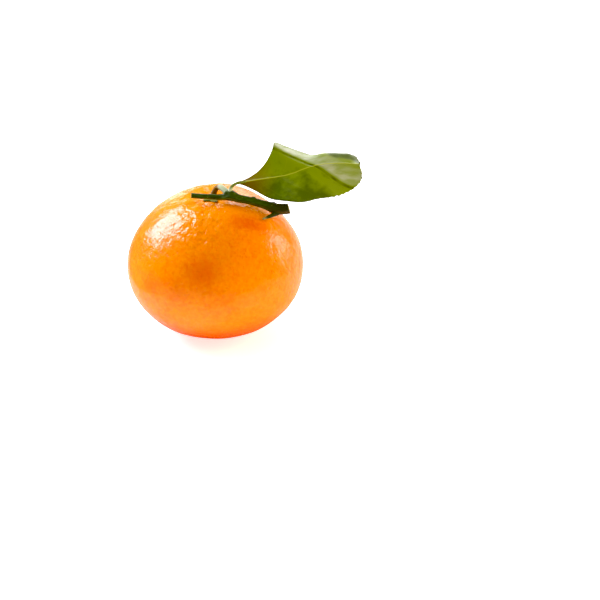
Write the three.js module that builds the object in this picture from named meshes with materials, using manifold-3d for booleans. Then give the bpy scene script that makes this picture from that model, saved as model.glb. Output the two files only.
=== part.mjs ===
import * as THREE from "three";
import { mergeVertices } from "three/addons/utils/BufferGeometryUtils.js";
import Module from "manifold-3d";

// A whole mandarin as picked: the fruit with its calyx, the short arched stalk that it hung by,
// the cut piece of twig that the stalk grew from, and one leaf on its leaf stalk.
// Millimetres, +Z up. The origin is the middle of the flat spot that the fruit rests on.

const wasm = await Module();
wasm.setup();

// Neighbours that touch in life keep this much air between their solids.
const GAP = 0.3;

// The fruit: a squat round, slightly drawn up towards the stem, with a shallow basin round the calyx.
const FRUIT_RADIUS = 31;
const SHOULDER_HEIGHT = 28.8;
const SHOULDER_POWER = 1.82;
const BELLY_DEPTH = 24.9;
const BELLY_POWER = 2.05;
const FLAT_SPOT_DEPTH = 0.75;
const WIDEST_LEVEL = BELLY_DEPTH - FLAT_SPOT_DEPTH;
const BASIN_AT = new THREE.Vector2(-0.8, -1.6);
const BASIN_DEPTH = 2.5;
const BASIN_RADIUS = 6.3;
const SEGMENTS_INSIDE = 9;
const SEGMENT_SWELL = 0.12;
const FURROW_DEPTH = 0.3;
const FURROW_RADIUS = 8;
const FURROW_WIDTH = 5;
const FRUIT_SIDES = 72;
const SHOULDER_RINGS = 17;
const BELLY_RINGS = 13;

// The calyx: a five-lobed green star, lying on the skin round the foot of the stalk.
const CALYX_LOBES = 5;
const CALYX_TIP_RADIUS = 4.1;
const CALYX_NOTCH_RADIUS = 2.5;
const CALYX_BOSS_RADIUS = 2.9;
const CALYX_FIRST_LOBE = -1.9;
const CALYX_UNEVENNESS = 0.16;
const CALYX_SIDES = 50;
// Each row is [share of the lobe's radius, height over the skin].
const CALYX_SECTION = [
  [0, 0],
  [0.5, 0],
  [1, 0],
  [1, 0.3],
  [0.8, 0.5],
  [0.5, 0.5],
  [0.35, 0.65],
  [0, 0.75],
];

// The stalk: thin, arching from the twig's joint over to the calyx, and a little thicker at its foot.
const STALK_PATH = [
  [-0.8, -1.6, 51.7],
  [-0.35, -1.6, 52.8],
  [0.25, -1.8, 54.2],
  [1.3, -2.6, 55.3],
  [2.6, -3.8, 55.5],
  [3.6, -4.75, 54.75],
];
const STALK_RADII = [1.1, 0.85, 0.72, 0.7, 0.75, 0.85];

// The twig: cut square and thin at its left end, swollen at the joint, and thick and torn at its heel.
const TWIG_PATH = [
  [-8.1, -5.6, 53.5],
  [-5, -5.8, 53.3],
  [-1.2, -6, 53.15],
  [2.7, -6.2, 53.1],
  [5.6, -6.3, 53.6],
  [8.3, -6.3, 52.55],
  [11.5, -6.4, 51.85],
  [14.7, -6.5, 50.9],
  [17.9, -6.6, 49.9],
  [21, -6.7, 48.7],
  [23.8, -6.7, 48.4],
  [26.9, -6.7, 48.6],
];
const TWIG_RADII = [1, 0.92, 0.88, 1.1, 1.8, 1.45, 1.36, 1.4, 1.55, 1.85, 1.88, 1.72];
const TWIG_RIBS = 5;
const RIB_SHARE = 0.05;
const HEEL_CUT_X = 25.8;
const HEEL_CUT_SLOPE = 0.28;
const JOINT_AT = [5.4, -6.1, 54.1];
const JOINT_SIZE = [2, 1.6, 1.55];
const SPUR_PATH = [
  [22, -7.2, 47.5],
  [19.8, -8.6, 47],
  [16.5, -10.5, 46.4],
];
const SPUR_RADII = [1.1, 0.7, 0.4];

// The leaf stalk: rises from the joint to the foot of the blade.
const LEAF_STALK_PATH = [
  [5.8, -5.9, 56.1],
  [6.3, -5.5, 57.1],
  [7.2, -5.1, 57.75],
  [8.3, -4.8, 57.9],
];
const LEAF_STALK_RADII = [0.65, 0.53, 0.5, 0.56];

// The blade: its midrib runs out to the right and back. Each half leaves the midrib at its own angle:
// it rises or droops from level, and it is swept towards the tip. The values are evenly spaced
// from the blade's foot to its tip, in degrees.
const MIDRIB_PATH = [
  [8.9, -4.6, 57.8],
  [17.5, -0.7, 57.2],
  [26, 3.1, 56.9],
  [34.5, 7.6, 58],
  [43.1, 11.4, 57.3],
  [51.4, 14.5, 55.5],
];
const NEAR_RISE = [-38, -38, -22, -35, -43, -40];
const NEAR_SWEEP = [-20, -25, -26, -20, -2, 6];
const FAR_RISE = [20, 26, 34, -6, -8, 0];
const FAR_SWEEP = [8, 12, 0, 11, 14, 22];
const NEAR_HALF_WIDTH = 13.6;
const NEAR_FOOT_POWER = 1.5;
const FAR_HALF_WIDTH = 14.5;
const FAR_FOOT_POWER = 2;
const LEAF_FOOT_HALF_WIDTH = 0.6;
const LEAF_TIP_POWER = 2.8;
const LEAF_THICKNESS = 0.6;
const MIDRIB_DEPTH = 0.45;
const MIDRIB_HALF_WIDTH = 0.9;
const TOOTH_DEPTH = 0.25;
const TEETH = 14;
// The crease runs across the blade: a low bump, a narrow valley and a higher bump beyond it.
const CREASE_AT = 0.64;
const CREASE_SLANT = 3.6;
const CREASE_WAVES = [
  { at: -0.3, width: 0.15, height: 0.3 },
  { at: -0.04, width: 0.12, height: -0.4 },
  { at: 0.22, width: 0.24, height: 0.8 },
];
const LEAF_ROWS = 56;
const LEAF_COLUMNS = 12;

const point = ([x, y, z]) => new THREE.Vector3(x, y, z);
const bell = (x, width) => Math.exp(-((x / width) ** 2));

// A smooth value between evenly spaced ones, for t from 0 to 1.
function between(values, t) {
  const last = values.length - 1;
  const place = THREE.MathUtils.clamp(t, 0, 1) * last;
  const i = Math.min(Math.floor(place), last - 1);
  const f = place - i;
  const [a, b, c, d] = [-1, 0, 1, 2].map((k) => values[THREE.MathUtils.clamp(i + k, 0, last)]);
  return b + 0.5 * f * (c - a + f * (2 * a - 5 * b + 4 * c - d + f * (3 * (b - c) + d - a)));
}

// Moves each vertex of a geometry by a rule.
function reshape(geometry, rule) {
  const place = geometry.getAttribute("position");
  const v = new THREE.Vector3();
  for (let i = 0; i < place.count; i++) {
    rule(v.fromBufferAttribute(place, i));
    place.setXYZ(i, v.x, v.y, v.z);
  }
  geometry.computeVertexNormals();
  return geometry;
}

// A closed geometry as a solid that can be joined and cut.
function solidOf(geometry) {
  const bare = geometry.clone();
  bare.deleteAttribute("normal");
  bare.deleteAttribute("uv");
  const merged = mergeVertices(bare, 1e-3);
  const mesh = new wasm.Mesh({
    numProp: 3,
    vertProperties: new Float32Array(merged.getAttribute("position").array),
    triVerts: new Uint32Array(merged.index.array),
  });
  return new wasm.Manifold(mesh);
}

function geometryOf(solid) {
  const mesh = solid.getMesh();
  const geometry = new THREE.BufferGeometry();
  geometry.setAttribute("position", new THREE.BufferAttribute(mesh.vertProperties, 3));
  geometry.setIndex(new THREE.BufferAttribute(mesh.triVerts, 1));
  geometry.computeVertexNormals();
  return geometry;
}

// Height of the skin's upper side at a distance from the axis, before the basin and its furrows.
function shoulderLevel(r) {
  const share = Math.min(1, r / FRUIT_RADIUS) ** SHOULDER_POWER;
  return WIDEST_LEVEL + SHOULDER_HEIGHT * (1 - share) ** (1 / SHOULDER_POWER);
}

// The segments inside show as faint lobes, and the fruit isn't quite round.
function swell(turn) {
  const lobes = SEGMENT_SWELL * Math.cos(SEGMENTS_INSIDE * turn + 0.4);
  const uneven = 0.2 * Math.cos(2 * turn + 0.6) + 0.15 * Math.cos(3 * turn + 2.1);
  return 1 + (lobes + uneven) / FRUIT_RADIUS;
}

// Depth of the basin, which lies a little off the middle, and of the furrows that run out of it
// between the segments.
function basin(x, y) {
  const turn = Math.atan2(y - BASIN_AT.y, x - BASIN_AT.x);
  const r = Math.hypot(x - BASIN_AT.x, y - BASIN_AT.y);
  const furrow = 0.5 - 0.5 * Math.cos(SEGMENTS_INSIDE * turn + 0.4);
  return BASIN_DEPTH * bell(r, BASIN_RADIUS) + FURROW_DEPTH * furrow * bell(r - FURROW_RADIUS, FURROW_WIDTH);
}

function skinLevel(x, y) {
  return shoulderLevel(Math.hypot(x, y) / swell(Math.atan2(y, x))) - basin(x, y);
}

function fruitProfile() {
  const flat = Math.asin(((BELLY_DEPTH - FLAT_SPOT_DEPTH) / BELLY_DEPTH) ** (BELLY_POWER / 2));
  const outline = [new THREE.Vector2(0, 0)];
  for (let i = 0; i <= BELLY_RINGS; i++) {
    const angle = flat * (1 - i / BELLY_RINGS);
    const r = FRUIT_RADIUS * Math.cos(angle) ** (2 / BELLY_POWER);
    outline.push(new THREE.Vector2(r, WIDEST_LEVEL - BELLY_DEPTH * Math.sin(angle) ** (2 / BELLY_POWER)));
  }
  for (let i = 1; i < SHOULDER_RINGS; i++) {
    const r = FRUIT_RADIUS * Math.cos((i / SHOULDER_RINGS) * (Math.PI / 2)) ** (2 / SHOULDER_POWER);
    outline.push(new THREE.Vector2(r, shoulderLevel(r)));
  }
  outline.push(new THREE.Vector2(0, shoulderLevel(0)));
  return outline;
}

function makeFruit() {
  const round = new THREE.LatheGeometry(fruitProfile(), FRUIT_SIDES).rotateX(Math.PI / 2);
  return reshape(round, (v) => {
    const share = swell(Math.atan2(v.y, v.x));
    v.x *= share;
    v.y *= share;
    if (v.z > WIDEST_LEVEL) v.z -= basin(v.x, v.y);
  });
}

function makeCalyx() {
  const section = CALYX_SECTION.map(([share, height]) => new THREE.Vector2(share, height));
  const disc = new THREE.LatheGeometry(section, CALYX_SIDES).rotateX(Math.PI / 2);
  return reshape(disc, (v) => {
    const share = Math.hypot(v.x, v.y);
    const turn = Math.atan2(v.y, v.x);
    const lobe = (0.5 + 0.5 * Math.cos(CALYX_LOBES * (turn - CALYX_FIRST_LOBE))) ** 1.3;
    const tip = CALYX_TIP_RADIUS * (1 + CALYX_UNEVENNESS * Math.cos(turn - CALYX_FIRST_LOBE));
    const reach = THREE.MathUtils.lerp(CALYX_NOTCH_RADIUS, tip, lobe);
    const r = share * THREE.MathUtils.lerp(CALYX_BOSS_RADIUS, reach, Math.min(1, share) ** 2);
    v.x = BASIN_AT.x + r * Math.cos(turn);
    v.y = BASIN_AT.y + r * Math.sin(turn);
    v.z += skinLevel(v.x, v.y) + GAP;
  });
}

// A round length of wood along a path, with its own radius at each point, and faint ribs.
function limb(path, radii, { sides = 14, steps = 3 * (path.length - 1), ribs = 0 } = {}) {
  const curve = new THREE.CatmullRomCurve3(path.map(point));
  const frames = curve.computeFrenetFrames(steps);
  const outline = [new THREE.Vector2(0, 0)];
  for (let i = 0; i <= steps; i++) outline.push(new THREE.Vector2(between(radii, i / steps), i));
  outline.push(new THREE.Vector2(0, steps));
  return reshape(new THREE.LatheGeometry(outline, sides), (v) => {
    const i = Math.round(v.y);
    const rib = 1 + RIB_SHARE * Math.cos(ribs * Math.atan2(v.z, v.x)) * (ribs > 0);
    const across = frames.binormals[i].clone().multiplyScalar(v.x * rib);
    const along = frames.normals[i].clone().multiplyScalar(v.z * rib);
    v.copy(curve.getPoint(i / steps)).add(across).add(along);
  });
}

function ellipsoid(at, size) {
  return new THREE.SphereGeometry(1, 16, 10).scale(...size).translate(...at);
}

// The heel is cut on a slant: a block with a sloping side takes its end off.
function heelCutter() {
  const side = 10;
  const [, y, z] = TWIG_PATH.at(-1);
  const block = new THREE.BoxGeometry(side, side, side).translate(side / 2, 0, 0);
  return block.rotateY(-HEEL_CUT_SLOPE).translate(HEEL_CUT_X, y, z);
}

function makeTwig() {
  const wood = solidOf(limb(TWIG_PATH, TWIG_RADII, { ribs: TWIG_RIBS, steps: 44 }));
  const joint = solidOf(ellipsoid(JOINT_AT, JOINT_SIZE));
  const spur = solidOf(limb(SPUR_PATH, SPUR_RADII, { sides: 10, steps: 6 }));
  return geometryOf(wood.subtract(solidOf(heelCutter())).add(joint).add(spur));
}

function halfWidth(along, across) {
  const [widest, power] = across < 0 ? [NEAR_HALF_WIDTH, NEAR_FOOT_POWER] : [FAR_HALF_WIDTH, FAR_FOOT_POWER];
  const foot = Math.sin(Math.PI * along) ** power;
  const tip = Math.sqrt(Math.max(0, 1 - Math.abs(2 * along - 1) ** LEAF_TIP_POWER));
  const towardsTip = THREE.MathUtils.smoothstep(along, 0.5, 0.8);
  const teeth = TOOTH_DEPTH * Math.cos(TEETH * 2 * Math.PI * along) * towardsTip;
  const body = widest - LEAF_FOOT_HALF_WIDTH;
  return LEAF_FOOT_HALF_WIDTH + body * (along < 0.5 ? foot : tip) + teeth * (along < 1);
}

function midrib(along) {
  return new THREE.Vector3(...[0, 1, 2].map((axis) => between(MIDRIB_PATH.map((p) => p[axis]), along)));
}

// A point of the blade's upper face. across is -1 at the near edge, 0 on the midrib and 1 at the far edge.
function bladePoint(along, across) {
  const step = 0.02;
  const forward = midrib(Math.min(1, along + step)).sub(midrib(Math.max(0, along - step))).normalize();
  const side = new THREE.Vector3(0, 0, 1).cross(forward).normalize();
  const up = forward.clone().cross(side);
  const [rises, sweeps] = across < 0 ? [NEAR_RISE, NEAR_SWEEP] : [FAR_RISE, FAR_SWEEP];
  const rise = THREE.MathUtils.degToRad(between(rises, along));
  const sweep = THREE.MathUtils.degToRad(between(sweeps, along));
  const reach = halfWidth(along, across);
  const crease = across + CREASE_SLANT * (along - CREASE_AT);
  const calm = Math.sin(Math.PI * along) ** 0.5;
  const lift = CREASE_WAVES.reduce((sum, w) => sum + w.height * bell(crease - w.at, w.width), 0) * calm;
  return midrib(along)
    .addScaledVector(side, across * reach * Math.cos(rise) * Math.cos(sweep))
    .addScaledVector(up, Math.abs(across) * reach * Math.sin(rise) * Math.cos(sweep) + lift)
    .addScaledVector(forward, Math.abs(across) * reach * Math.sin(sweep));
}

// A thin closed sheet over a grid: the lower face is the upper one moved along its normals.
function sheet(surface, rows, columns, thickness) {
  const top = new THREE.PlaneGeometry(2, 1, columns, rows);
  const grid = top.getAttribute("position");
  const marks = [];
  for (let i = 0; i < grid.count; i++) marks.push({ across: -grid.getX(i), along: 0.5 - grid.getY(i) });
  marks.forEach(({ along, across }, i) => grid.setXYZ(i, ...surface(along, across)));
  top.computeVertexNormals();
  const normals = top.getAttribute("normal");
  const vertex = (_, i) => new THREE.Vector3().fromBufferAttribute(grid, i);
  const upper = Array.from({ length: grid.count }, vertex);
  const lower = upper.map((v, i) => {
    const down = new THREE.Vector3().fromBufferAttribute(normals, i);
    return v.clone().addScaledVector(down, -thickness(marks[i].along, marks[i].across));
  });
  const faces = Array.from(top.index.array);
  const count = grid.count;
  const all = [...faces];
  for (let i = 0; i < faces.length; i += 3) {
    all.push(faces[i] + count, faces[i + 2] + count, faces[i + 1] + count);
  }
  const wide = columns + 1;
  const rim = [];
  for (let c = 0; c < columns; c++) rim.push(c);
  for (let r = 0; r < rows; r++) rim.push(r * wide + columns);
  for (let c = columns; c > 0; c--) rim.push(rows * wide + c);
  for (let r = rows; r > 0; r--) rim.push(r * wide);
  rim.forEach((a, i) => {
    const b = rim[(i + 1) % rim.length];
    all.push(a, b, a + count, b, b + count, a + count);
  });
  const geometry = new THREE.BufferGeometry().setFromPoints([...upper, ...lower]);
  geometry.setIndex(all);
  geometry.computeVertexNormals();
  return geometry;
}

// The midrib stands out from the under side, less and less towards the tip.
function bladeThickness(along, across) {
  const rib = MIDRIB_DEPTH * (1 - 0.6 * along) * bell(across * halfWidth(along, across), MIDRIB_HALF_WIDTH);
  return LEAF_THICKNESS + rib;
}

const skin = new THREE.MeshStandardMaterial({ color: 0xf58a12, roughness: 0.42, metalness: 0 });
const calyxGreen = new THREE.MeshStandardMaterial({ color: 0x7c8a2c, roughness: 0.75, metalness: 0 });
const stalkGreen = new THREE.MeshStandardMaterial({ color: 0x6f7a2a, roughness: 0.7, metalness: 0 });
const bark = new THREE.MeshStandardMaterial({ color: 0x24400f, roughness: 0.65, metalness: 0 });
const leafGreen = new THREE.MeshStandardMaterial({ color: 0x6a8416, roughness: 0.45, metalness: 0 });

const mandarin = new THREE.Group();

function add(name, geometry, material) {
  const mesh = new THREE.Mesh(geometry, material);
  mesh.name = name;
  mandarin.add(mesh);
}

add("fruit", makeFruit(), skin);
add("calyx", makeCalyx(), calyxGreen);
add("fruit_stalk", limb(STALK_PATH, STALK_RADII, { sides: 12 }), stalkGreen);
add("twig", makeTwig(), bark);
add("leaf_stalk", limb(LEAF_STALK_PATH, LEAF_STALK_RADII, { sides: 10 }), stalkGreen);
add("leaf_blade", sheet(bladePoint, LEAF_ROWS, LEAF_COLUMNS, bladeThickness), leafGreen);

export default mandarin;
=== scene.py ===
"""A whole mandarin: the fruit with its calyx and stalk, a cut piece of its twig and one folded leaf.

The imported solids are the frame. Each piece here is modelled over its solid, in metres, with +Z up and
the origin in the middle of the flat spot that the fruit rests on.
"""

import math

import bmesh
import bpy
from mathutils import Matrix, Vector, noise


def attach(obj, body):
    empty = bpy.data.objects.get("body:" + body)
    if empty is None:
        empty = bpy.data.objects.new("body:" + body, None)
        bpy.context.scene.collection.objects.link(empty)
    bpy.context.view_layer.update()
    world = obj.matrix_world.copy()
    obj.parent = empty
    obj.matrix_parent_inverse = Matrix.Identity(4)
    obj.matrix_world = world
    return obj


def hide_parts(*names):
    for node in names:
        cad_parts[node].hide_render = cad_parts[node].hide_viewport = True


bl_info = {
    "name": "Mandarin",
    "version": (1, 0, 0),
    "blender": (4, 5, 0),
    "location": "3D View > Sidebar > Mandarin",
    "description": "Models a mandarin with its twig and leaf over the packed solids",
    "category": "Object",
}

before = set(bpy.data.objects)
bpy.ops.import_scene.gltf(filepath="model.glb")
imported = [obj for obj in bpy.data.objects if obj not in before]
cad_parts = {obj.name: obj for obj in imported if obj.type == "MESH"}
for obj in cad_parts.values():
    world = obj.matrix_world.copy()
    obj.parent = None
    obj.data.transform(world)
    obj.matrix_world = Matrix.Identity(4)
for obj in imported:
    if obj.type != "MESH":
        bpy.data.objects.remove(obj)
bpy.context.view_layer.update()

MM = 0.001


# Small tools


def linear(code):
    """An sRGB hex colour as linear red, green, blue and alpha."""
    parts = [int(code[i : i + 2], 16) / 255 for i in (1, 3, 5)]
    return (*(p / 12.92 if p <= 0.04045 else ((p + 0.055) / 1.055) ** 2.4 for p in parts), 1.0)


def mix(a, b, share):
    return a + (b - a) * share


def clamp(value, low=0.0, high=1.0):
    return max(low, min(high, value))


def smooth_step(low, high, value):
    share = clamp((value - low) / (high - low))
    return share * share * (3 - 2 * share)


def bell(value, width):
    return math.exp(-((value / width) ** 2))


def between(values, share):
    """A smooth value between evenly spaced ones, for a share from 0 to 1."""
    last = len(values) - 1
    place = clamp(share) * last
    i = min(int(place), last - 1)
    f = place - i
    a, b, c, d = (values[int(clamp(i + k, 0, last))] for k in (-1, 0, 1, 2))
    return b + 0.5 * f * (c - a + f * (2 * a - 5 * b + 4 * c - d + f * (3 * (b - c) + d - a)))


def path_point(path, share):
    return Vector([between([p[axis] for p in path], share) for axis in range(3)])


def feed(target, inputs):
    """Sets a node's inputs by identifier: a value, or a pair of another node and its output."""
    for key, value in inputs.items():
        socket = next(s for s in target.inputs if s.identifier == key)
        if isinstance(value, tuple) and isinstance(value[0], bpy.types.Node):
            source = next(s for s in value[0].outputs if s.identifier == value[1])
            target.id_data.links.new(source, socket)
        else:
            socket.default_value = value


def node(tree, kind, inputs, stops=None, **settings):
    """Adds a node with its settings, its colour stops and what feeds its inputs."""
    made = tree.nodes.new(kind)
    for key, value in settings.items():
        setattr(made, key, value)
    if stops:
        ramp = made.color_ramp.elements
        while len(ramp) < len(stops):
            ramp.new(1)
        for element, (position, tint) in zip(ramp, stops):
            element.position = position
            element.color = tint
    feed(made, inputs)
    return made


def blank_material(name):
    """A new material, its node tree and its surface shader."""
    material = bpy.data.materials.new(name)
    material.use_nodes = True
    return material, material.node_tree, material.node_tree.nodes["Principled BSDF"]


def add_piece(bm, name, node_name, materials):
    """Makes the piece's object, which rides on the fruit's body and stands for its solid."""
    mesh = bpy.data.meshes.new(name)
    bm.to_mesh(mesh)
    bm.free()
    mesh.shade_smooth()
    for material in materials:
        mesh.materials.append(material)
    piece = bpy.data.objects.new(name, mesh)
    bpy.context.scene.collection.objects.link(piece)
    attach(piece, "root")
    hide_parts(node_name)
    return piece


def transport_frames(path, steps):
    """Points along a path, each with two directions across it that turn as little as they can."""
    points = [path_point(path, i / steps) for i in range(steps + 1)]
    frames = []
    across = None
    for i, point in enumerate(points):
        along = (points[min(i + 1, steps)] - points[max(i - 1, 0)]).normalized()
        if across is None:
            across = along.orthogonal().normalized()
        across = (across - along * across.dot(along)).normalized()
        frames.append((point, across, along.cross(across)))
    return frames


def add_limb(bm, path, radii, sides=24, steps=48, rib_count=0, rib_share=0.0, twist=0.0):
    """Adds a closed length of wood or stalk along a path, ribbed if asked, with flat ends."""
    limb = bmesh.new()
    bmesh.ops.create_cone(limb, cap_ends=True, segments=sides, radius1=1, radius2=1, depth=1)
    lengthwise = [e for e in limb.edges if abs(e.verts[0].co.z - e.verts[1].co.z) > 0.5]
    bmesh.ops.subdivide_edges(limb, edges=lengthwise, cuts=steps - 1)
    frames = transport_frames(path, steps)
    for v in limb.verts:
        share = v.co.z + 0.5
        point, across, aside = frames[round(share * steps)]
        turn = math.atan2(v.co.y, v.co.x)
        rib = 1 + rib_share * math.cos(rib_count * turn + twist * share)
        reach = between(radii, share) * rib
        v.co = point + (across * math.cos(turn) + aside * math.sin(turn)) * reach
    mesh = bpy.data.meshes.new("limb")
    limb.to_mesh(mesh)
    limb.free()
    bm.from_mesh(mesh)
    bpy.data.meshes.remove(mesh)


# The skin's shape, which the fruit and the calyx share

SEGMENTS_INSIDE = 9
SEGMENT_TURN = 0.4
EQUATOR_BLEND = 0.5
# Broad bulges that keep the fruit from being quite round: how many, how high, and where they start.
BULGES = ((2, 0.2 * MM, 0.6), (3, 0.15 * MM, 2.1))


def shoulder_level(rind, r):
    """Height of the skin's upper side at a distance from the axis, before the basin."""
    share = min(1, r / rind.radius) ** rind.shoulder_power
    return rind.widest_level + rind.shoulder_height * (1 - share) ** (1 / rind.shoulder_power)


def basin(rind, x, y):
    """Depth of the hollow round the calyx and of the furrows that run out of it."""
    turn = math.atan2(y - rind.basin_at[1], x - rind.basin_at[0])
    r = math.hypot(x - rind.basin_at[0], y - rind.basin_at[1])
    furrow = 0.5 - 0.5 * math.cos(SEGMENTS_INSIDE * turn + SEGMENT_TURN)
    ring = bell(r - rind.furrow_radius, rind.furrow_width)
    return rind.basin_depth * bell(r, rind.basin_radius) + rind.furrow_depth * furrow * ring


def skin_level(rind, x, y):
    return shoulder_level(rind, math.hypot(x, y)) - basin(rind, x, y)


def swell(rind, turn):
    """The segments inside show as faint lobes, and the fruit isn't quite round."""
    lobes = rind.segment_swell * math.cos(SEGMENTS_INSIDE * turn + SEGMENT_TURN)
    uneven = sum(rise * math.cos(count * turn + start) for count, rise, start in BULGES)
    return 1 + (lobes + uneven) / rind.radius


class RindSettings(bpy.types.PropertyGroup):
    radius: bpy.props.FloatProperty(
        name="Radius", description="Half the fruit's width", default=31 * MM, unit="LENGTH"
    )
    shoulder_height: bpy.props.FloatProperty(
        name="Shoulder height", description="Height over the widest level", default=28.8 * MM, unit="LENGTH"
    )
    shoulder_power: bpy.props.FloatProperty(
        name="Shoulder power", description="2 is round, less is more pointed", default=1.82
    )
    belly_depth: bpy.props.FloatProperty(
        name="Belly depth", description="Depth under the widest level", default=24.9 * MM, unit="LENGTH"
    )
    belly_power: bpy.props.FloatProperty(
        name="Belly power", description="2 is round, more is squarer", default=2.05
    )
    widest_level: bpy.props.FloatProperty(
        name="Widest level", description="Height of the widest part", default=24.15 * MM, unit="LENGTH"
    )
    basin_at: bpy.props.FloatVectorProperty(
        name="Basin", description="Middle of the hollow round the calyx", size=2,
        default=(-0.8 * MM, -1.6 * MM), unit="LENGTH",
    )
    basin_depth: bpy.props.FloatProperty(
        name="Basin depth", description="Depth of the hollow", default=2.5 * MM, unit="LENGTH"
    )
    basin_radius: bpy.props.FloatProperty(
        name="Basin radius", description="Radius of the hollow", default=6.3 * MM, unit="LENGTH"
    )
    furrow_depth: bpy.props.FloatProperty(
        name="Furrow depth", description="Depth of the furrows between the segments", default=0.3 * MM,
        unit="LENGTH",
    )
    furrow_radius: bpy.props.FloatProperty(
        name="Furrow radius", description="Where the furrows are deepest", default=8 * MM, unit="LENGTH"
    )
    furrow_width: bpy.props.FloatProperty(
        name="Furrow length", description="How far the furrows reach", default=5 * MM, unit="LENGTH"
    )
    segment_swell: bpy.props.FloatProperty(
        name="Segment swell", description="How far the segments press the rind out", default=0.12 * MM,
        unit="LENGTH",
    )
    gland_spacing: bpy.props.FloatProperty(
        name="Gland spacing", description="Distance between the pits of the oil glands", default=1.45 * MM,
        unit="LENGTH",
    )
    gland_depth: bpy.props.FloatProperty(
        name="Gland depth", description="Depth of the pits", default=0.13 * MM, unit="LENGTH"
    )
    ripe: bpy.props.FloatVectorProperty(
        name="Ripe orange", description="Main colour of the rind", subtype="COLOR", size=4,
        default=linear("#F88403"),
    )
    # Deep orange: the random patches where the rind is more ripe, and the painted shade below and in places.
    deep: bpy.props.FloatVectorProperty(
        name="Deep orange", description="Colour of the riper patches", subtype="COLOR", size=4,
        default=linear("#E05600"),
    )
    light: bpy.props.FloatVectorProperty(
        name="Light orange", description="Colour round the calyx", subtype="COLOR", size=4,
        default=linear("#FC9A14"),
    )
    pore: bpy.props.FloatVectorProperty(
        name="Pore", description="Colour at the bottom of a pit", subtype="COLOR", size=4,
        default=linear("#E06400"),
    )


# Places where deep orange is painted on the rind as shade: the dim middle of the front and two places to
# its left, and the shadow of the twig and the leaf just below the twig. Each has a middle and a radius in
# millimetres, and a share of deep orange. The edge of a place wanders by the edge value below, and the
# painted shade is darkest within the core value of its middle.
PAINTED_SHADE_PLACES = (
    ((-4.5, -27, 34), 9.5, 0.6),
    ((-13, -26, 27), 7.5, 0.3),
    ((-21, -20, 27), 7, 0.4),
    ((8, -14.5, 47.2), 4.5, 0.45),
    ((12, -14, 46.2), 4.5, 0.6),
    ((16, -13, 44.8), 4.5, 0.45),
)
SHADE_EDGE = 3
SHADE_CORE = 2.5

# Round this place, towards the stem, the rind is more coarsely dimpled: a middle and two radii in
# millimetres, and the distance between dimples. Their depth grows from the first value to the second.
COARSE_MIDDLE = (-3.6, -16, 47)
COARSE_RADIUS = 14
COARSE_CORE = 5.6
DIMPLE_SPACING = 2.6
DIMPLE_DEPTHS = (0.36, 1.0)

# Sizes of the rind's cloudy patches and of its fine mottling.
PATCH_SIZE = 15 * MM
MOTTLE_SIZE = 1.3 * MM
# Levels between which the rind grows lighter towards the stem, and takes painted shade towards the flat
# spot.
CROWN_LEVELS = (40 * MM, 53 * MM)
UNDER_LEVELS = (17 * MM, 5 * MM)


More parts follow.
